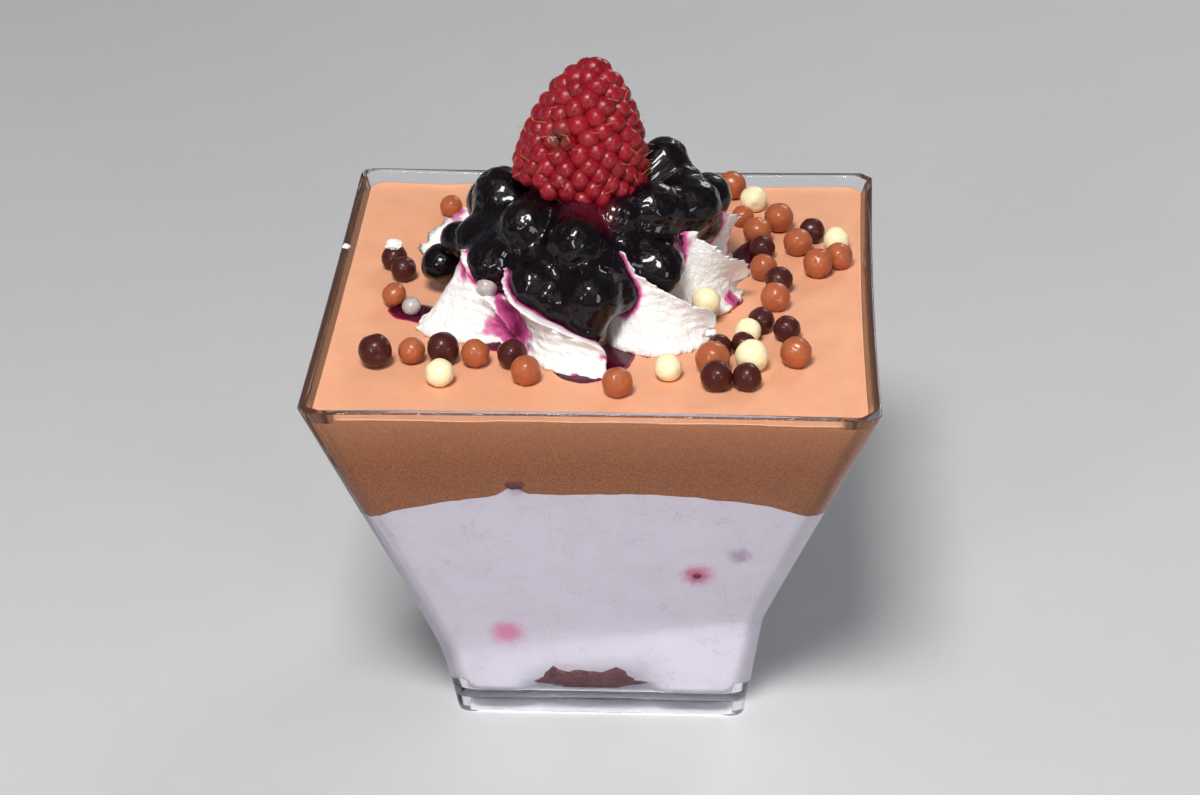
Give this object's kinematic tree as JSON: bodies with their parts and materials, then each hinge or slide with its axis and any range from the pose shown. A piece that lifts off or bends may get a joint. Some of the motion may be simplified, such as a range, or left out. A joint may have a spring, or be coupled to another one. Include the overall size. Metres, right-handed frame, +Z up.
{
  "type": "glass of mousse",
  "caption": "Square clear dessert cup of fruit and chocolate mousse, topped with whipped cream, berry compote, a raspberry and chocolate pearls.",
  "frame": {"origin": "centre of the cup's foot, on the surface it stands on", "axes": "+Z up, out of the cup's mouth; -Y towards the front that the picture shows; +X to its right"},
  "size_m": [0.0748, 0.0748, 0.0906],
  "materials": {
    "clear_plastic": "clear, polished, moulded",
    "soaked_sponge": "wet, dark red crumb",
    "fruit_mousse": "smooth, pale lilac",
    "chocolate_mousse": "matt, pale milk chocolate brown",
    "whipped_cream": "matt white, torn edges",
    "berry_compote": "wet, glossy, nearly black",
    "raspberry": "soft sheen, crimson"
  },
  "bodies": {
    "root": {"cup": "clear_plastic", "soaked_sponge": "soaked_sponge", "fruit_mousse": "fruit_mousse", "chocolate_mousse": "chocolate_mousse", "whipped_cream": "whipped_cream", "berry_compote": "berry_compote", "raspberry": "raspberry"}
  },
  "joints": []
}
